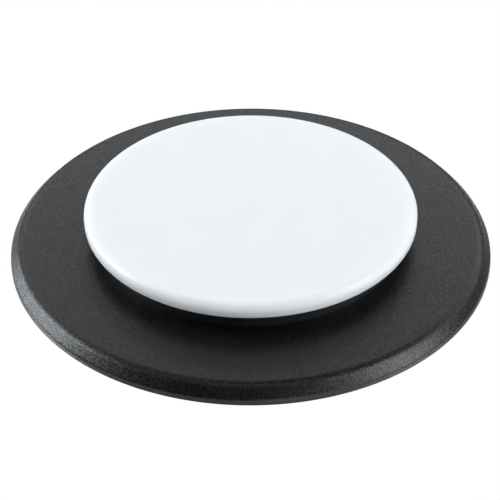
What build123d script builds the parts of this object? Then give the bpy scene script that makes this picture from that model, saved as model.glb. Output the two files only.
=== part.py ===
from build123d import *
import os

# A large, flat dealer button: a wide plate with a rounded shoulder, a round hub
# that stands up from the plate's middle, and a cap that pushes down over the hub
# and overhangs it, so that a finger gap is left all round under the cap.
# Millimetres, +Z up, origin at the middle of the grip pad's underside, which is
# the face that the button rests on. Every piece except the screws, the key ribs
# and the plate's ribs is turned about the Z axis.

# ---- Driving dimensions: the outside ----
PLATE_D = 76.0            # widest diameter, the plate's
PLATE_T = 2.55            # plate, from its underside to its flat top
LIP_H = 0.9               # upright lip round the plate's foot
SHOULDER_W = 1.65         # width of the sloping shoulder above the lip, to its sharp corner
SHOULDER_BREAK = 1.9      # radius that rounds that corner into the flat top
HUB_D = 48.4              # hub, and the black neck seen under the cap
NECK_H = 3.0              # height of the finger gap, plate top to cap
CAP_D = 52.2
CAP_T = 2.2               # cap, from the skirt's lower edge to the flat top
CAP_EDGE_R = 1.25         # radius round the cap's top edge
CAP_FOOT_R = 0.3          # radius round the skirt's lower edge
PAD_PROUD = 0.3           # how far the grip pad stands below the plate

# ---- Driving dimensions: the inside ----
WALL = 1.2                # moulded wall thickness of the hub's deck and the plate's web
CAP_WALL = 1.0            # thickness of the cap's flat face
HUB_WALL = 1.8            # upright wall of the hub
CAP_CLEAR = 0.08          # running clearance between the hub and the cap's skirt
SEAT_CLEAR = 0.05         # clearance of the hub in the plate's pocket
PAD_D = 60.0
PAD_T = 0.8
PAD_TAPE_T = 0.2
BALLAST_D = 32.0
BALLAST_PAD_T = 0.3       # foam that stops the ballast rattling
BALLAST_PAD_D = 26.0
BALLAST_PLAY = 0.2        # gap over the ballast, under the hub's deck
SCREW_COUNT = 3
SCREW_PITCH_R = 18.7      # radius of the circle that the screws stand on
SCREW_START = 90          # direction of the first screw, degrees from +X
SCREW_D = 2.0             # M2 self-tapping screw, 5 mm long, countersunk
SCREW_L = 5.0
SCREW_HEAD_D = 3.8
SCREW_CLEAR = 0.02        # gap between the plain shank and its hole
BOSS_D = 4.6
KEY_COUNT = 3             # ribs in the cap's skirt that stop it turning
KEY_START = 30            # direction of the first rib, degrees from +X
KEY_W = 2.0
KEY_DEPTH = 0.7
KEY_CLEAR = 0.1

# ---- Small features ----
LIP_BREAK = 0.2           # radius under the lip
LEAD_IN = 0.25            # chamfers that guide the cap on to the hub
DECK_DISH = 0.25          # shallow dish in the hub's deck, so the cap seats on a rim
DECK_LAND = 4.0           # width of that rim
BALLAST_CHAMFER = 0.4
CORE_IN_R = 31.8          # groove cored out of the plate's underside
CORE_OUT_R = 35.4
CORE_DEPTH = 1.4
RIB_COUNT = 12            # ribs across that groove
RIB_W = 1.0
TREAD_COUNT = 5           # round grooves in the grip pad's underside
TREAD_W = 1.2
TREAD_DEPTH = 0.3
TREAD_EDGE = 2.0          # land outside the outermost groove
TREAD_PITCH = 4.0
CROSS_W = 0.45            # cross recess in a screw's head
CROSS_L = 2.0
CROSS_DEPTH = 0.8
TIP_L = 1.2               # tapered tip of a screw
TIP_D = 0.6
EJECTOR_COUNT = 3         # shallow ejector marks inside the cap
EJECTOR_D = 3.0
EJECTOR_PITCH_R = 17.0
EJECTOR_DEPTH = 0.15

# ---- Radii and levels worked out from them ----
PLATE_R = PLATE_D / 2
HUB_R = HUB_D / 2
CAP_R = CAP_D / 2
POCKET_R = HUB_R + SEAT_CLEAR
SKIRT_R = HUB_R + CAP_CLEAR
PAD_RECESS_R = PAD_D / 2 + PAD_PROUD
Z_UNDER = PAD_PROUD
Z_LIP = Z_UNDER + LIP_H
Z_PLATE = Z_UNDER + PLATE_T
Z_CAP_LOW = Z_PLATE + NECK_H
Z_CAP_TOP = Z_CAP_LOW + CAP_T
Z_DECK = Z_CAP_TOP - CAP_WALL
Z_DECK_LOW = Z_DECK - WALL
Z_WEB_LOW = PAD_T + PAD_TAPE_T
Z_WEB = Z_WEB_LOW + WALL
Z_BALLAST = Z_WEB + BALLAST_PAD_T
Z_BALLAST_TOP = Z_DECK_LOW - BALLAST_PLAY


def turned(*edges):
    """Solid turned about Z from the closed outline of edges, given as (radius, height)."""
    outline = Curve() + list(edges)
    return revolve(Plane.XZ * make_face(outline), axis=Axis.Z)


def disc(radius, low, high):
    """Round disc about Z between two heights."""
    return Pos(0, 0, low) * Cylinder(radius, high - low, align=(Align.CENTER, Align.CENTER, Align.MIN))


def ring(outer, inner, low, high):
    """Flat ring about Z between two heights."""
    return disc(outer, low, high) - disc(inner, low, high)


def block(length, width, low, high):
    """Upright block about Z, length along X and width along Y, between two heights."""
    return Pos(0, 0, low) * Box(length, width, high - low, align=(Align.CENTER, Align.CENTER, Align.MIN))


def around(piece, radius, count, start=0.0):
    """Copies of a piece spaced evenly on a circle about Z."""
    return [place * piece for place in PolarLocations(radius, count, start)]


def plate_body():
    """Turned body of the plate: web, pad recess, lip, shoulder, flat top and hub pocket."""
    lip_low = (PLATE_R, Z_UNDER + LIP_BREAK)
    lip_high = (PLATE_R, Z_LIP)
    top_edge = (PLATE_R - SHOULDER_W, Z_PLATE)
    inside = Polyline(top_edge, (POCKET_R, Z_PLATE), (POCKET_R, Z_WEB), (0, Z_WEB), (0, Z_WEB_LOW),
                      (PAD_RECESS_R, Z_WEB_LOW), (PAD_RECESS_R, Z_UNDER), (PLATE_R - LIP_BREAK, Z_UNDER))
    foot = RadiusArc((PLATE_R - LIP_BREAK, Z_UNDER), lip_low, -LIP_BREAK)
    lip = Line(lip_low, lip_high)
    shoulder = Line(lip_high, top_edge)
    body = turned(inside, foot, lip, shoulder)
    rim = body.edges().filter_by(GeomType.CIRCLE).filter_by(
        lambda edge: abs(edge.radius - top_edge[0]) < 1e-3 and abs(edge.center().Z - Z_PLATE) < 1e-3)
    return fillet(rim, SHOULDER_BREAK)


def plate_coring():
    """Groove cut from the plate's underside, broken by radial ribs."""
    groove = ring(CORE_OUT_R, CORE_IN_R, Z_UNDER, Z_UNDER + CORE_DEPTH)
    rib_length = CORE_OUT_R - CORE_IN_R + 1.0
    rib = block(rib_length, RIB_W, Z_UNDER, Z_UNDER + CORE_DEPTH)
    return groove - around(rib, (CORE_OUT_R + CORE_IN_R) / 2, RIB_COUNT)


def screw_hole():
    """Countersunk clearance hole for one screw, through the plate's web."""
    head_depth = (SCREW_HEAD_D - SCREW_D) / 2
    mouth_r = SCREW_HEAD_D / 2 + SCREW_CLEAR
    shank_r = SCREW_D / 2 + SCREW_CLEAR
    return turned(Polyline((0, Z_WEB_LOW), (mouth_r, Z_WEB_LOW), (shank_r, Z_WEB_LOW + head_depth),
                           (shank_r, Z_WEB), (0, Z_WEB), close=True))


def base_plate():
    """Wide flanged plate that everything else is fastened to."""
    return plate_body() - plate_coring() - around(screw_hole(), SCREW_PITCH_R, SCREW_COUNT, SCREW_START)


def hub():
    """Inverted cup that stands in the plate's pocket, with three screw bosses inside."""
    shell = turned(Polyline((0, Z_DECK), (HUB_R - LEAD_IN, Z_DECK), (HUB_R, Z_DECK - LEAD_IN), (HUB_R, Z_WEB),
                            (HUB_R - HUB_WALL, Z_WEB), (HUB_R - HUB_WALL, Z_DECK_LOW), (0, Z_DECK_LOW), close=True))
    bosses = around(disc(BOSS_D / 2, Z_WEB, Z_DECK_LOW), SCREW_PITCH_R, SCREW_COUNT, SCREW_START)
    pilot = disc(SCREW_D / 2 + SCREW_CLEAR, Z_WEB, Z_WEB_LOW + SCREW_L + SCREW_CLEAR)
    dish = disc(HUB_R - DECK_LAND, Z_DECK - DECK_DISH, Z_DECK)
    notch = block(2 * (KEY_DEPTH + KEY_CLEAR), KEY_W + 2 * KEY_CLEAR, Z_CAP_LOW, Z_DECK)
    notches = around(notch, HUB_R, KEY_COUNT, KEY_START)
    return shell + bosses - dish - around(pilot, SCREW_PITCH_R, SCREW_COUNT, SCREW_START) - notches


def cap():
    """Shallow lid with a flat face, a rounded edge and a skirt that slides over the hub."""
    top_start = (CAP_R - CAP_EDGE_R, Z_CAP_TOP)
    side_high = (CAP_R, Z_CAP_TOP - CAP_EDGE_R)
    side_low = (CAP_R, Z_CAP_LOW + CAP_FOOT_R)
    foot = (CAP_R - CAP_FOOT_R, Z_CAP_LOW)
    inside = Polyline(foot, (SKIRT_R + LEAD_IN, Z_CAP_LOW), (SKIRT_R, Z_CAP_LOW + LEAD_IN), (SKIRT_R, Z_DECK),
                      (0, Z_DECK), (0, Z_CAP_TOP), top_start)
    body = turned(inside, RadiusArc(top_start, side_high, CAP_EDGE_R), Line(side_high, side_low),
                  RadiusArc(side_low, foot, CAP_FOOT_R))
    key = block(2 * KEY_DEPTH, KEY_W, Z_CAP_LOW + LEAD_IN, Z_DECK)
    keys = around(key, SKIRT_R, KEY_COUNT, KEY_START)
    mark = disc(EJECTOR_D / 2, Z_DECK, Z_DECK + EJECTOR_DEPTH)
    marks = around(mark, EJECTOR_PITCH_R, EJECTOR_COUNT, SCREW_START)
    return body + keys - marks


def ballast_disc():
    """Plain steel disc that gives the button its weight, standing between the screw bosses."""
    solid = disc(BALLAST_D / 2, Z_BALLAST, Z_BALLAST_TOP)
    return chamfer(solid.edges().filter_by(GeomType.CIRCLE), BALLAST_CHAMFER)


def ballast_pad():
    """Thin self-adhesive foam disc between the ballast and the plate's web."""
    return disc(BALLAST_PAD_D / 2, Z_WEB, Z_BALLAST)


def hub_screw():
    """Countersunk self-tapping screw with a cross recess, threads left plain."""
    head_depth = (SCREW_HEAD_D - SCREW_D) / 2
    tip = Z_WEB_LOW + SCREW_L
    body = turned(Polyline((0, Z_WEB_LOW), (SCREW_HEAD_D / 2, Z_WEB_LOW), (SCREW_D / 2, Z_WEB_LOW + head_depth),
                           (SCREW_D / 2, tip - TIP_L), (TIP_D / 2, tip), (0, tip), close=True))
    slot = block(CROSS_L, CROSS_W, Z_WEB_LOW, Z_WEB_LOW + CROSS_DEPTH)
    return body - slot - Rot(0, 0, 90) * slot


def hub_screws():
    """The screws that clamp the plate to the hub, from below."""
    return Part() + around(hub_screw(), SCREW_PITCH_R, SCREW_COUNT, SCREW_START)


def pad_tape():
    """Double-sided tape that holds the grip pad and covers the screws."""
    return disc(PAD_D / 2, PAD_T, Z_WEB_LOW)


def grip_pad():
    """Rubber disc with round tread grooves, the face that rests on the table."""
    pad = disc(PAD_D / 2, 0, PAD_T)
    for number in range(TREAD_COUNT):
        outer = PAD_D / 2 - TREAD_EDGE - number * TREAD_PITCH
        pad -= ring(outer, outer - TREAD_W, 0, TREAD_DEPTH)
    return pad


PIECES = {
    "base_plate": base_plate,
    "hub": hub,
    "cap": cap,
    "ballast_disc": ballast_disc,
    "ballast_pad": ballast_pad,
    "hub_screws": hub_screws,
    "pad_tape": pad_tape,
    "grip_pad": grip_pad,
}

os.makedirs("parts", exist_ok=True)
for name, make in PIECES.items():
    export_step(make(), f"parts/{name}.step")
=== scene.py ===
import math

import bmesh
import bpy
from mathutils import Matrix, Vector


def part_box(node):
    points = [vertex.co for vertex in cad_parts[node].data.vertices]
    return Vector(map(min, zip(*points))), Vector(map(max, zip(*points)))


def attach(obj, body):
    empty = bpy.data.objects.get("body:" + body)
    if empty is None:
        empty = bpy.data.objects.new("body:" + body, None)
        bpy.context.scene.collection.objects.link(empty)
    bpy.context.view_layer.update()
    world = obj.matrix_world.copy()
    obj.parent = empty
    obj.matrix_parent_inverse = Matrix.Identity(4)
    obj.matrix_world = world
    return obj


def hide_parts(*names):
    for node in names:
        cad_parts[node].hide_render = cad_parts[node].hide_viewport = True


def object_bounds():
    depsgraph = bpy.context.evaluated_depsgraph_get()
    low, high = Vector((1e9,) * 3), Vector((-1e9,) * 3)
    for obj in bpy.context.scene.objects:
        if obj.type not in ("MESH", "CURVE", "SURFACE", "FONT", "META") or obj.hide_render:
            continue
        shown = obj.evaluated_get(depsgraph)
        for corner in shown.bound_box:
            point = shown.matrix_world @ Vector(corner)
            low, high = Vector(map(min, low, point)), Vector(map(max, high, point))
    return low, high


# Visual model of a dealer button: one finished mesh in place of each CAD node, in the CAD's frame.
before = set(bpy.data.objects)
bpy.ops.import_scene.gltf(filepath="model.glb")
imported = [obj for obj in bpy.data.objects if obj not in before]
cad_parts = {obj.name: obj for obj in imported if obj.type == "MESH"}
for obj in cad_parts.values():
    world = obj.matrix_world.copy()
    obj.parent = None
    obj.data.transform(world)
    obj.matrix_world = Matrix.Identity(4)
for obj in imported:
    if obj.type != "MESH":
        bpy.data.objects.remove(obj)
cad_low, cad_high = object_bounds()

# ---- Sizes taken from the frame, in metres ----
MM = 0.001
plate_low, plate_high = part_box("base_plate")
hub_low, hub_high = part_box("hub")
cap_low, cap_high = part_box("cap")
pad_low, pad_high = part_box("grip_pad")
tape_low, tape_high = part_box("pad_tape")
ballast_low, ballast_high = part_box("ballast_disc")
foam_low, foam_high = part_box("ballast_pad")
screws_low, screws_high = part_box("hub_screws")
PLATE_R = plate_high.x
HUB_R = hub_high.x
CAP_R = cap_high.x
PAD_R = pad_high.x
HUB_SEAT = hub_low.z          # top of the plate's web, where the hub stands
WEB_LOW = tape_high.z         # underside of that web

# ---- Small shapes that the boxes don't give, as in the design ----
LIP_H = 0.9 * MM              # upright lip round the plate's foot
SHOULDER_W = 1.65 * MM        # width of the sloping shoulder above the lip
SHOULDER_BREAK = 1.9 * MM     # rounding between the shoulder and the flat top
CAP_EDGE_R = 1.25 * MM        # rounding of the cap's top edge
CAP_FOOT_R = 0.3 * MM
SEAT_CLEAR = 0.05 * MM        # gap round the hub in the plate's pocket
PAD_CLEAR = 0.3 * MM          # gap round the grip pad in its recess
CAP_CLEAR = 0.08 * MM         # gap between the hub and the cap's skirt
LEAD_IN = 0.25 * MM           # rounding of the edges that guide the cap on to the hub
HUB_WALL = 1.8 * MM
DECK = 1.2 * MM               # thickness of the hub's deck
DECK_DISH = 0.25 * MM         # depth of the dish in it
DECK_LAND = 4.0 * MM          # width of the rim round the dish
CORE_IN_R = 31.8 * MM         # the groove cored out of the plate's underside
CORE_OUT_R = 35.4 * MM
CORE_DEPTH = 1.4 * MM
RIB_COUNT = 12                # ribs across that groove
RIB_W = 1.0 * MM
KEY_COUNT = 3                 # ribs in the cap's skirt that stop it turning
KEY_START = 30                # degrees from +X
KEY_W = 2.0 * MM
KEY_DEPTH = 0.7 * MM
KEY_CLEAR = 0.1 * MM
TREAD_COUNT = 5               # round grooves in the grip pad's underside
TREAD_W = 1.2 * MM
TREAD_DEPTH = 0.3 * MM
TREAD_EDGE = 2.0 * MM         # land outside the outermost groove
TREAD_PITCH = 4.0 * MM
SCREW_COUNT = 3
SCREW_START = 90              # degrees from +X
SCREW_PITCH_R = 18.7 * MM     # radius of the circle that the screws stand on
SCREW_R = 1.0 * MM
SCREW_HEAD_R = 1.9 * MM
SCREW_CLEAR = 0.02 * MM
TIP_L = 1.2 * MM              # tapered tip of a screw
TIP_R = 0.3 * MM
CROSS_W = 0.45 * MM           # cross recess in a screw's head
CROSS_L = 2.0 * MM
CROSS_DEPTH = 0.8 * MM
BOSS_R = 2.3 * MM
EJECTOR_PITCH_R = 17.0 * MM   # radius of the circle that the cap's ejector marks stand on
EJECTOR_R = 1.5 * MM
EJECTOR_DEPTH = 0.15 * MM

# ---- Fine shapes that only the visual pieces have ----
LIP_BREAK = 0.2 * MM          # rounding under the lip
LIP_DRAFT = 0.05 * MM         # how far the lip leans in, so that it leaves the mould
LIP_CORNER = 0.8 * MM         # rounding between the lip and the shoulder
SOFT_EDGE = 0.08 * MM         # rounding of edges that moulding leaves sharp
PRESSED_EDGE = 0.4 * MM       # rounding of the stamped steel disc
THREAD_PITCH = 0.8 * MM       # height of one turn of a screw's thread
THREAD_DEPTH = 0.25 * MM
SINK = 0.2 * MM               # how deep an added feature is set into the piece that carries it

# ---- Mesh fineness ----
SEGMENTS = 360                # columns around a large turned piece
SMALL_SEGMENTS = 48           # columns around a screw, boss or hole
THREAD_ROWS = 90              # rows of points along a screw's shank
CHORD_ERROR = 0.001 * MM      # how far an arc's straight steps may stray from it
SUPPORT = 0.15 * MM           # distance from a bend to the row of points that keeps a side flat
MERGE = 0.0001 * MM           # points closer than this are one point
CREASE = math.radians(30)     # edges sharper than this stay sharp when shaded

# ---- Looks ----
NOISE_LOW = 0.3               # the values between which most of a noise texture lies
NOISE_HIGH = 0.7
NOISE_DETAIL = 3              # how many finer layers a noise texture adds
CELL_MIDDLE = (0.5, 0.5, 0.5)  # middle of the random colours that cells have
GRAIN_SIZE = 0.15 * MM        # one facet of the spark-eroded grain
GRAIN_TILT = 0.12             # how far a facet leans, as a part of its normal
GLOSS_SIZE = 0.11 * MM        # one patch of even roughness in the grain
GLOW_REACH = 1.5 * MM         # how far light spreads inside the white plastic
STEEL_UNEVENNESS = 0.12       # how much a steel's roughness varies
COOL_WHITE = (0.955, 1.0, 1.035)  # colour of the softboxes
LIGHT_DISTANCE = 1.2          # from the button's middle to a softbox
FLOOR_REACH = 3               # from the button's middle to a side of the floor
FLOOR_ALBEDO = 0.75           # part of the light that the floor sends back
FLOOR_METALLIC = 0.5          # 0 for a matt floor, 1 for a blurred mirror
FLOOR_ROUGHNESS = 0.25        # how blurred the floor's reflection is

# ---- Numbers of node sockets that share a name ----
MIX_FIRST = 6                 # the colours that a Mix node mixes, and the one that it gives
MIX_SECOND = 7
MIX_RESULT = 2
MIX_SHADER_FIRST = 1          # the shaders that a Mix Shader node mixes
MIX_SHADER_SECOND = 2

# ---- Camera ----
CAMERA_ELEVATION = math.radians(36.94)
CAMERA_DISTANCE = 5.5 * PLATE_R
CAMERA_LENS = 93.9            # millimetres, as Blender gives it
CAMERA_DROP = math.radians(0.457)   # how far below the plate's middle it aims
CAMERA_ROLL = math.radians(-0.24)
CAMERA_SWING = math.radians(0.041)  # turn to the left
CAMERA_NEAR = 0.01            # the distances between which it sees
CAMERA_FAR = 10


def make_camera():
    """Camera at the photograph's viewing angle, aimed a little below the plate's middle."""
    data = bpy.data.cameras.new("camera")
    data.lens = CAMERA_LENS
    data.clip_start = CAMERA_NEAR
    data.clip_end = CAMERA_FAR
    camera = bpy.data.objects.new("camera", data)
    bpy.context.scene.collection.objects.link(camera)
    middle = Vector((0, 0, plate_low.z))
    back = Vector((0, -math.cos(CAMERA_ELEVATION), math.sin(CAMERA_ELEVATION)))
    camera.location = middle + back * CAMERA_DISTANCE
    camera.rotation_euler = (math.pi / 2 - CAMERA_ELEVATION - CAMERA_DROP, 0, CAMERA_SWING)
    camera.rotation_euler.rotate_axis("Z", CAMERA_ROLL)
    bpy.context.scene.camera = camera


# ---- Outlines ----
def fillet(corner, before, after, radius):
    """Points of the arc that rounds a corner; before and after are the directions of its two sides."""
    half = before.angle(after) / 2
    centre = corner + (before + after).normalized() * radius / math.sin(half)
    start = corner + before * radius / math.tan(half) - centre
    sweep = math.pi - 2 * half
    steps = math.ceil(sweep / (2 * math.acos(1 - CHORD_ERROR / radius)))
    turn = -sweep if before.cross(after) > 0 else sweep
    return [centre + Matrix.Rotation(turn * step / steps, 2) @ start for step in range(steps + 1)]


def outline(corners):
    """Closed outline through corners of (radius, height, rounding); 0 keeps a corner sharp."""
    points = []
    for index, (radius, height, rounding) in enumerate(corners):
        corner = Vector((radius, height))
        before = Vector(corners[index - 1][:2]) - corner
        after = Vector(corners[(index + 1) % len(corners)][:2]) - corner
        if rounding:
            points += fillet(corner, before.normalized(), after.normalized(), rounding)
        else:
            points.append(corner)
    return supported(points)


def supported(points):
    """Outline with a point near each end of its long sides, so that shading keeps them flat."""
    result = []
    for index, here in enumerate(points):
        ahead = points[(index + 1) % len(points)]
        length = (ahead - here).length
        result.append(here)
        if length > 4 * SUPPORT:
            result += [here.lerp(ahead, SUPPORT / length), ahead.lerp(here, SUPPORT / length)]
    return result


# ---- Meshes ----
def clean(mesh):
    """Merges coincident points, then removes slivers and the edges and points that no face uses."""
    bmesh.ops.remove_doubles(mesh, verts=mesh.verts, dist=MERGE)
    bmesh.ops.dissolve_degenerate(mesh, edges=mesh.edges, dist=MERGE)
    bmesh.ops.delete(mesh, geom=[edge for edge in mesh.edges if not edge.link_faces], context="EDGES")
    bmesh.ops.delete(mesh, geom=[point for point in mesh.verts if not point.link_faces], context="VERTS")


def finished(name, mesh):
    """Object made from a bmesh."""
    clean(mesh)
    bmesh.ops.recalc_face_normals(mesh, faces=mesh.faces)
    data = bpy.data.meshes.new(name)
    mesh.to_mesh(data)
    mesh.free()
    piece = bpy.data.objects.new(name, data)
    bpy.context.scene.collection.objects.link(piece)
    shade(piece)
    return piece


def shade(piece):
    """Smooth shading, with the creases kept."""
    piece.data.shade_smooth()
    piece.data.set_sharp_from_angle(angle=CREASE)


def swept(name, outline_at, sides):
    """Closed mesh about Z whose outline at each angle is outline_at(angle)."""
    mesh = bmesh.new()
    columns = []
    for side in range(sides):
        angle = 2 * math.pi * side / sides
        east, north = math.cos(angle), math.sin(angle)
        column = [(radius * east, radius * north, level) for radius, level in outline_at(angle)]
        columns.append([mesh.verts.new(point) for point in column])
    for side, column in enumerate(columns):
        neighbour = columns[(side + 1) % sides]
        for row in range(len(column) - 1, -1, -1):    # row 0 joins on to the last, as the outline is closed
            mesh.faces.new((column[row - 1], neighbour[row - 1], neighbour[row], column[row]))
    return finished(name, mesh)


def turned(name, corners, sides=SEGMENTS):
    """Solid turned about Z from the corners of its outline."""
    points = outline(corners)
    return swept(name, lambda angle: points, sides)


def cylinder(radius, low, high):
    """Small upright cylinder about Z, for a boss or a hole."""
    corners = [(0, low, 0), (radius, low, 0), (radius, high, 0), (0, high, 0)]
    return turned("cylinder", corners, SMALL_SEGMENTS)


def block(inner, outer, width, low, high):
    """Box that reaches along +X from the inner to the outer distance, centred on Y = 0."""
    mesh = bmesh.new()
    bmesh.ops.create_cube(mesh, size=1)
    bmesh.ops.scale(mesh, verts=mesh.verts, vec=(outer - inner, width, high - low))
    bmesh.ops.translate(mesh, verts=mesh.verts, vec=((inner + outer) / 2, 0, (low + high) / 2))
    return finished("block", mesh)


def around(piece, count, start=0, radius=0):
    """The piece shifted out by radius and repeated evenly about Z from start degrees, as one mesh."""
    mesh = bmesh.new()
    for number in range(count):
        turn = Matrix.Rotation(math.radians(start + 360 * number / count), 4, "Z")
        copy = piece.data.copy()
        copy.transform(turn @ Matrix.Translation((radius, 0, 0)))
        mesh.from_mesh(copy)
        bpy.data.meshes.remove(copy)
    mesh.to_mesh(piece.data)
    mesh.free()
    return piece


def reshape(piece, operation, tool):
    """Joins the tool on to the piece, or cuts it out of the piece, and uses the tool up."""
    modifier = piece.modifiers.new("reshape", "BOOLEAN")
    modifier.operation = operation
    modifier.object = tool
    modifier.solver = "EXACT"
    graph = bpy.context.evaluated_depsgraph_get()
    shaped = bpy.data.meshes.new_from_object(piece.evaluated_get(graph))
    piece.modifiers.clear()
    piece.data = shaped
    bpy.data.objects.remove(tool)
    mesh = bmesh.new()
    mesh.from_mesh(shaped)
    clean(mesh)
    mesh.to_mesh(shaped)
    mesh.free()
    shade(piece)


# ---- Pieces ----
def make_plate():
    """Wide plate: flat top, sloping shoulder, thin lip, cored and ribbed underside, pocket for the hub."""
    under = plate_low.z
    core_top = under + CORE_DEPTH
    pocket_r = HUB_R + SEAT_CLEAR
    recess_r = PAD_R + PAD_CLEAR
    plate = turned("plate_body", [
        (PLATE_R, under, LIP_BREAK),
        (PLATE_R - LIP_DRAFT, under + LIP_H, LIP_CORNER),
        (PLATE_R - SHOULDER_W, plate_high.z, SHOULDER_BREAK),
        (pocket_r, plate_high.z, SOFT_EDGE),
        (pocket_r, HUB_SEAT, 0),
        (0, HUB_SEAT, 0),
        (0, WEB_LOW, 0),
        (recess_r, WEB_LOW, 0),
        (recess_r, under, SOFT_EDGE),
        (CORE_IN_R, under, SOFT_EDGE),
        (CORE_IN_R, core_top, SOFT_EDGE),
        (CORE_OUT_R, core_top, SOFT_EDGE),
        (CORE_OUT_R, under, SOFT_EDGE),
    ])
    rib = block(CORE_IN_R - SINK, CORE_OUT_R + SINK, RIB_W, under + SOFT_EDGE, core_top + SINK)
    reshape(plate, "UNION", around(rib, RIB_COUNT))
    mouth = SCREW_HEAD_R + SCREW_CLEAR
    bore = SCREW_R + SCREW_CLEAR
    hole = turned("screw_hole", [
        (0, WEB_LOW - SINK, 0),
        (mouth, WEB_LOW - SINK, 0),
        (mouth, WEB_LOW, 0),
        (bore, WEB_LOW + mouth - bore, 0),
        (bore, HUB_SEAT + SINK, 0),
        (0, HUB_SEAT + SINK, 0),
    ], SMALL_SEGMENTS)
    reshape(plate, "DIFFERENCE", around(hole, SCREW_COUNT, SCREW_START, SCREW_PITCH_R))
    return plate


def make_hub():
    """Black neck: an inverted cup with a dished deck, key notches in its rim and screw bosses inside."""
    deck_low = hub_high.z - DECK
    dish = hub_high.z - DECK_DISH
    dish_r = HUB_R - DECK_LAND
    hub = turned("hub_shell", [
        (HUB_R, hub_low.z, SOFT_EDGE),
        (HUB_R, hub_high.z, LEAD_IN),
        (dish_r, hub_high.z, SOFT_EDGE),
        (dish_r, dish, SOFT_EDGE),
        (0, dish, 0),
        (0, deck_low, 0),
        (HUB_R - HUB_WALL, deck_low, SOFT_EDGE),
        (HUB_R - HUB_WALL, hub_low.z, 0),
    ])
    notch_w = KEY_W + 2 * KEY_CLEAR
    notch = block(HUB_R - KEY_DEPTH - KEY_CLEAR, HUB_R + SINK, notch_w, cap_low.z, hub_high.z + SINK)
    reshape(hub, "DIFFERENCE", around(notch, KEY_COUNT, KEY_START))
    boss = cylinder(BOSS_R, hub_low.z, deck_low + SINK)
    reshape(hub, "UNION", around(boss, SCREW_COUNT, SCREW_START, SCREW_PITCH_R))
    pilot = cylinder(SCREW_R + SCREW_CLEAR, hub_low.z - SINK, screws_high.z + SCREW_CLEAR)
    reshape(hub, "DIFFERENCE", around(pilot, SCREW_COUNT, SCREW_START, SCREW_PITCH_R))
    return hub


def make_cap():
    """White cap: a flat face, a rounded edge, and a keyed skirt that slides over the hub."""
    skirt_r = HUB_R + CAP_CLEAR
    ceiling = hub_high.z
    cap = turned("cap_shell", [
        (CAP_R, cap_low.z, CAP_FOOT_R),
        (CAP_R, cap_high.z, CAP_EDGE_R),
        (0, cap_high.z, 0),
        (0, ceiling, 0),
        (skirt_r, ceiling, SOFT_EDGE),
        (skirt_r, cap_low.z, LEAD_IN),
    ])
    key = block(skirt_r - KEY_DEPTH, skirt_r + SINK, KEY_W, cap_low.z + LEAD_IN, ceiling + SINK)
    reshape(cap, "UNION", around(key, KEY_COUNT, KEY_START))
    mark = cylinder(EJECTOR_R, ceiling - SINK, ceiling + EJECTOR_DEPTH)
    reshape(cap, "DIFFERENCE", around(mark, SCREW_COUNT, SCREW_START, EJECTOR_PITCH_R))
    return cap


def make_grip_pad():
    """Rubber disc with round tread grooves on its underside."""
    low, groove_top = pad_low.z, pad_low.z + TREAD_DEPTH
    corners = [(0, pad_high.z, 0), (0, low, 0)]
    for number in reversed(range(TREAD_COUNT)):
        outer = PAD_R - TREAD_EDGE - number * TREAD_PITCH
        inner = outer - TREAD_W
        corners += [(inner, low, SOFT_EDGE), (inner, groove_top, SOFT_EDGE)]
        corners += [(outer, groove_top, SOFT_EDGE), (outer, low, SOFT_EDGE)]
    corners += [(PAD_R, low, SOFT_EDGE), (PAD_R, pad_high.z, SOFT_EDGE)]
    return turned("grip_pad_tread", corners)


def make_disc(name, low, high, rounding):
    """Flat disc that fills a node's box, with rounded edges."""
    rim = [(high.x, low.z, rounding), (high.x, high.z, rounding)]
    return turned(name, [(0, low.z, 0)] + rim + [(0, high.z, 0)])


def make_screws():
    """Countersunk self-tapping screws: a cone head with a cross recess, and a thread that ends in a tip."""
    low, high = screws_low.z, screws_high.z
    neck = low + SCREW_HEAD_R - SCREW_R

    def thread_radius(height, angle):
        """Radius of the shank; the thread's groove starts under the head and fades at the tip."""
        turns = height / THREAD_PITCH - angle / (2 * math.pi)
        groove = 1 - abs(2 * (turns % 1) - 1)
        fade = min(1, (height - neck) / THREAD_PITCH)
        taper = min(1, (high - height) / TIP_L)
        return TIP_R + (SCREW_R - TIP_R) * taper - THREAD_DEPTH * groove * fade * taper

    def outline_at(angle):
        heights = [neck + (high - neck) * row / THREAD_ROWS for row in range(THREAD_ROWS + 1)]
        shank = [(thread_radius(height, angle), height) for height in heights]
        return [(0, low), (SCREW_HEAD_R, low)] + shank + [(0, high)]

    screw = swept("hub_screw_set", outline_at, SMALL_SEGMENTS)
    for turn in (0, 90):
        arm = block(-CROSS_L / 2, CROSS_L / 2, CROSS_W, low - SINK, low + CROSS_DEPTH)
        reshape(screw, "DIFFERENCE", around(arm, 1, turn))
    return around(screw, SCREW_COUNT, SCREW_START, SCREW_PITCH_R)


# ---- Materials ----
def new_material(name):
    """Empty node material with its Principled shader."""
    material = bpy.data.materials.new(name)
    material.use_nodes = True
    tree = material.node_tree
    return material, tree, tree.nodes["Principled BSDF"]


def surface_point(tree):
    """The surface point in the piece's own coordinates, in metres."""
    return tree.nodes.new("ShaderNodeTexCoord").outputs["Object"]


def surface_height(tree):
    """Height of the surface point in the piece's own coordinates, in metres."""
    node = tree.nodes.new("ShaderNodeSeparateXYZ")
    tree.links.new(surface_point(tree), node.inputs["Vector"])
    return node.outputs["Z"]


def noise(tree, size):
    """Noise around 0.5 whose features are about size metres across."""
    node = tree.nodes.new("ShaderNodeTexNoise")
    node.inputs["Scale"].default_value = 1 / size
    node.inputs["Detail"].default_value = NOISE_DETAIL
    tree.links.new(surface_point(tree), node.inputs["Vector"])
    return node.outputs["Fac"]


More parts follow.
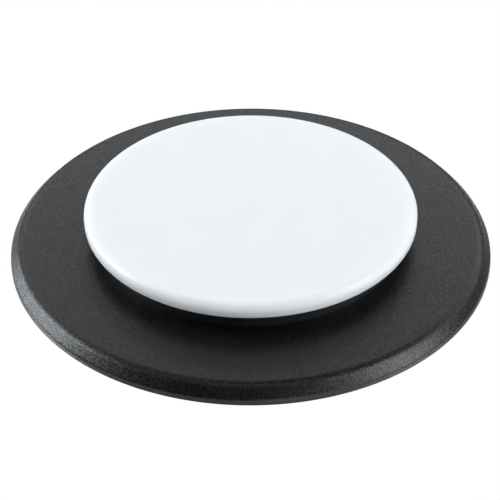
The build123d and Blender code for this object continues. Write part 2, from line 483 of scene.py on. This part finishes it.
def spread(tree, value, low, high, start=NOISE_LOW, end=NOISE_HIGH):
    """Maps value, between start and end, on to the range from low to high."""
    node = tree.nodes.new("ShaderNodeMapRange")
    tree.links.new(value, node.inputs["Value"])
    node.inputs["From Min"].default_value = start
    node.inputs["From Max"].default_value = end
    node.inputs["To Min"].default_value = low
    node.inputs["To Max"].default_value = high
    return node.outputs["Result"]


def feed(tree, value, socket):
    """Gives a socket a constant, or the output of another node."""
    if isinstance(value, tuple):
        socket.default_value = value
    else:
        tree.links.new(value, socket)


def mixed(tree, factor, first, second):
    """Colour between two others by a factor socket; each is a socket or a (red, green, blue, 1) constant."""
    node = tree.nodes.new("ShaderNodeMix")
    node.data_type = "RGBA"
    tree.links.new(factor, node.inputs["Factor"])
    feed(tree, first, node.inputs[MIX_FIRST])
    feed(tree, second, node.inputs[MIX_SECOND])
    return node.outputs[MIX_RESULT]


def mottled(tree, pattern, dark, light):
    """Colour that goes from dark to light with a noise; each is a linear (red, green, blue)."""
    return mixed(tree, spread(tree, pattern, low=0, high=1), (*dark, 1), (*light, 1))


def bump(tree, relief, depth, under=None):
    """Bump from a relief of 0 to 1 that is depth metres deep, on top of another normal."""
    node = tree.nodes.new("ShaderNodeBump")
    node.inputs["Distance"].default_value = depth
    tree.links.new(relief, node.inputs["Height"])
    if under is not None:
        tree.links.new(under, node.inputs["Normal"])
    return node.outputs["Normal"]


def vector_math(tree, operation, first, second):
    """Vector arithmetic on a socket and another socket or a constant."""
    node = tree.nodes.new("ShaderNodeVectorMath")
    node.operation = operation
    feed(tree, first, node.inputs[0])
    feed(tree, second, node.inputs[1])
    return node.outputs["Vector"]


def grains(tree, size):
    """Cells about size metres across, each with its own random colour."""
    node = tree.nodes.new("ShaderNodeTexVoronoi")
    node.inputs["Scale"].default_value = 1 / size
    tree.links.new(surface_point(tree), node.inputs["Vector"])
    return node.outputs["Color"]


def facets(tree, cells, tilt):
    """Normal that leans a random way in each cell, as far as the tilt socket says."""
    lean = tree.nodes.new("ShaderNodeVectorMath")
    lean.operation = "SCALE"
    tree.links.new(vector_math(tree, "SUBTRACT", cells, CELL_MIDDLE), lean.inputs[0])
    tree.links.new(tilt, lean.inputs["Scale"])
    surface = tree.nodes.new("ShaderNodeNewGeometry").outputs["Normal"]
    leaning = vector_math(tree, "ADD", lean.outputs["Vector"], surface)
    node = tree.nodes.new("ShaderNodeVectorMath")
    node.operation = "NORMALIZE"
    tree.links.new(leaning, node.inputs[0])
    return node.outputs["Vector"]


def grained_plastic():
    """Black plastic with a fine spark-eroded grain, which stops at the smooth lip, whose lighter colour is a
    painted reflection.
    """
    material, tree, shader = new_material("grained_black")
    cloud = noise(tree, size=5 * MM)
    lip_top = plate_low.z + LIP_H
    start, end = lip_top - SOFT_EDGE, lip_top + SOFT_EDGE
    off_lip = spread(tree, surface_height(tree), low=0, high=1, start=start, end=end)
    black = mottled(tree, cloud, dark=(0.0012, 0.0012, 0.0013), light=(0.0025, 0.0025, 0.0027))
    # painted reflection: the lip is coloured lighter than the rest of the plate to stand in for the light it
    # reflects
    lip_painted_reflection = mottled(tree, cloud, dark=(0.03, 0.03, 0.031), light=(0.04, 0.04, 0.042))
    tree.links.new(mixed(tree, off_lip, lip_painted_reflection, black), shader.inputs["Base Color"])
    gloss = grains(tree, GLOSS_SIZE)
    tree.links.new(spread(tree, gloss, low=0.18, high=0.58, start=0, end=1), shader.inputs["Roughness"])
    tilt = spread(tree, off_lip, low=0, high=GRAIN_TILT, start=0, end=1)
    normal = facets(tree, grains(tree, GRAIN_SIZE), tilt)
    tree.links.new(bump(tree, cloud, depth=0.01 * MM, under=normal), shader.inputs["Normal"])
    return material


def smooth_plastic():
    """Smooth satin black plastic."""
    material, tree, shader = new_material("smooth_black")
    cloud = noise(tree, size=1.5 * MM)
    colour = mottled(tree, cloud, dark=(0.009, 0.009, 0.0093), light=(0.014, 0.014, 0.0145))
    tree.links.new(colour, shader.inputs["Base Color"])
    tree.links.new(spread(tree, cloud, low=0.42, high=0.5), shader.inputs["Roughness"])
    tree.links.new(bump(tree, cloud, depth=0.002 * MM), shader.inputs["Normal"])
    return material


def white_plastic():
    """White satin plastic that light enters a little, with the faint unevenness of a moulding."""
    material, tree, shader = new_material("satin_white")
    cloud = noise(tree, size=6 * MM)
    colour = mottled(tree, cloud, dark=(0.86, 0.86, 0.865), light=(0.875, 0.875, 0.88))
    tree.links.new(colour, shader.inputs["Base Color"])
    fine = noise(tree, size=0.3 * MM)
    tree.links.new(spread(tree, fine, low=0.3, high=0.36), shader.inputs["Roughness"])
    tree.links.new(bump(tree, fine, depth=0.0015 * MM), shader.inputs["Normal"])
    shader.inputs["Subsurface Weight"].default_value = 1
    shader.inputs["Subsurface Radius"].default_value = (1, 1, 1)
    shader.inputs["Subsurface Scale"].default_value = GLOW_REACH
    return material


def grip_rubber():
    """Matt black rubber with a finely pitted skin."""
    material, tree, shader = new_material("grip_rubber")
    pits = noise(tree, size=0.5 * MM)
    colour = mottled(tree, pits, dark=(0.012, 0.012, 0.012), light=(0.02, 0.02, 0.02))
    tree.links.new(colour, shader.inputs["Base Color"])
    tree.links.new(spread(tree, pits, low=0.7, high=0.85), shader.inputs["Roughness"])
    tree.links.new(bump(tree, pits, depth=0.04 * MM), shader.inputs["Normal"])
    return material


def bare_steel(name, dull, grain_size):
    """Plain grey steel with a fine tumbled grain, dull being its greatest roughness."""
    material, tree, shader = new_material(name)
    grain = noise(tree, grain_size)
    colour = mottled(tree, grain, dark=(0.45, 0.45, 0.46), light=(0.56, 0.56, 0.57))
    tree.links.new(colour, shader.inputs["Base Color"])
    shader.inputs["Metallic"].default_value = 1
    roughness = spread(tree, grain, low=dull - STEEL_UNEVENNESS, high=dull)
    tree.links.new(roughness, shader.inputs["Roughness"])
    tree.links.new(bump(tree, grain, depth=0.004 * MM), shader.inputs["Normal"])
    return material


def soft_filling(name, dark, light, cell_size):
    """Matt foam or tape, mottled between two shades."""
    material, tree, shader = new_material(name)
    cells = noise(tree, cell_size)
    tree.links.new(mottled(tree, cells, dark, light), shader.inputs["Base Color"])
    tree.links.new(spread(tree, cells, low=0.75, high=0.9), shader.inputs["Roughness"])
    tree.links.new(bump(tree, cells, depth=0.05 * MM), shader.inputs["Normal"])
    return material


def paint(piece, material):
    """Gives a piece one material."""
    piece.data.materials.clear()
    piece.data.materials.append(material)
    for face in piece.data.polygons:
        face.material_index = 0


# ---- Stage and light ----
def show(tree, real, seen, output):
    """Sends one shader to the camera and another to everything else."""
    path = tree.nodes.new("ShaderNodeLightPath")
    mix = tree.nodes.new("ShaderNodeMixShader")
    tree.links.new(path.outputs["Is Camera Ray"], mix.inputs["Fac"])
    tree.links.new(real, mix.inputs[MIX_SHADER_FIRST])
    tree.links.new(seen, mix.inputs[MIX_SHADER_SECOND])
    tree.links.new(mix.outputs["Shader"], output.inputs["Surface"])


def make_floor():
    """Plain pale floor that the button rests on, half mirror to light and evenly white to the camera."""
    mesh = bmesh.new()
    bmesh.ops.create_grid(mesh, x_segments=1, y_segments=1, size=FLOOR_REACH)
    floor = finished("floor", mesh)
    floor.location.z = cad_low.z
    material, tree, shader = new_material("floor_white")
    shader.inputs["Base Color"].default_value = (FLOOR_ALBEDO, FLOOR_ALBEDO, FLOOR_ALBEDO, 1)
    shader.inputs["Metallic"].default_value = FLOOR_METALLIC
    shader.inputs["Roughness"].default_value = FLOOR_ROUGHNESS
    shader.inputs["Specular IOR Level"].default_value = 0
    white = tree.nodes.new("ShaderNodeEmission")
    show(tree, shader.outputs["BSDF"], white.outputs["Emission"], tree.nodes["Material Output"])
    paint(floor, material)


def make_world():
    """White to the camera and dark to everything else, so that all light comes from the softboxes."""
    world = bpy.data.worlds.new("world")
    bpy.context.scene.world = world
    world.use_nodes = True
    tree = world.node_tree
    room = tree.nodes["Background"]
    room.inputs["Color"].default_value = (0, 0, 0, 1)
    seen = tree.nodes.new("ShaderNodeBackground")
    seen.inputs["Color"].default_value = (1, 1, 1, 1)
    show(tree, room.outputs["Background"], seen.outputs["Background"], tree.nodes["World Output"])


def softbox(name, azimuth, elevation, width, height, radiance):
    """Area light that faces the button; azimuth 0 is behind it, 90 at its right, 180 at the camera."""
    data = bpy.data.lights.new(name, "AREA")
    data.shape = "RECTANGLE"
    data.size = width
    data.size_y = height
    data.energy = radiance * math.pi * width * height
    data.color = COOL_WHITE
    light = bpy.data.objects.new(name, data)
    bpy.context.scene.collection.objects.link(light)
    turn = math.radians(azimuth)
    rise = math.radians(elevation)
    out = Vector((math.sin(turn) * math.cos(rise), math.cos(turn) * math.cos(rise), math.sin(rise)))
    light.location = out * LIGHT_DISTANCE
    light.rotation_euler = out.to_track_quat("Z", "Y").to_euler()
    light.visible_camera = False


def make_lights():
    """Tall softboxes at the left and the right, a wide strip behind, and smaller fills."""
    softbox("left_softbox", azimuth=279, elevation=26, width=0.6, height=0.78, radiance=8.3)
    softbox("low_left_softbox", azimuth=300, elevation=11, width=0.3, height=0.3, radiance=7.5)
    softbox("right_softbox", azimuth=108, elevation=34, width=0.6, height=1.0, radiance=5.2)
    softbox("back_softbox", azimuth=12, elevation=28, width=3.0, height=0.32, radiance=2.0)
    softbox("rear_softbox", azimuth=0, elevation=46, width=1.4, height=0.45, radiance=0.6)
    softbox("rear_left_softbox", azimuth=316, elevation=44, width=0.9, height=0.5, radiance=0.8)
    softbox("rear_right_softbox", azimuth=60, elevation=40, width=1.1, height=0.6, radiance=0.7)
    softbox("front_softbox", azimuth=142, elevation=18, width=1.6, height=0.45, radiance=1.75)
    softbox("overhead_softbox", azimuth=180, elevation=82, width=0.6, height=0.34, radiance=0.95)


def add_piece(piece, material, body, node):
    """Puts a new piece on its body, in place of its CAD node."""
    paint(piece, material)
    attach(piece, body)
    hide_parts(node)


make_camera()
add_piece(make_plate(), grained_plastic(), "base", "base_plate")
add_piece(make_hub(), smooth_plastic(), "base", "hub")
add_piece(make_cap(), white_plastic(), "cap", "cap")
add_piece(make_grip_pad(), grip_rubber(), "base", "grip_pad")

ballast = make_disc("ballast_blank", ballast_low, ballast_high, PRESSED_EDGE)
ballast_steel = bare_steel("ballast_steel", dull=0.48, grain_size=0.4 * MM)
add_piece(ballast, ballast_steel, "base", "ballast_disc")

screw_steel = bare_steel("screw_zinc", dull=0.36, grain_size=0.15 * MM)
add_piece(make_screws(), screw_steel, "base", "hub_screws")

foam_disc = make_disc("foam_disc", foam_low, foam_high, SOFT_EDGE)
foam = soft_filling("foam", dark=(0.03, 0.03, 0.03), light=(0.07, 0.07, 0.07), cell_size=0.25 * MM)
add_piece(foam_disc, foam, "base", "ballast_pad")

tape_disc = make_disc("tape_disc", tape_low, tape_high, SOFT_EDGE)
tape = soft_filling("tape", dark=(0.5, 0.48, 0.43), light=(0.6, 0.58, 0.52), cell_size=1.2 * MM)
add_piece(tape_disc, tape, "base", "pad_tape")

make_floor()
make_world()
make_lights()
bpy.context.scene.view_settings.view_transform = "Standard"
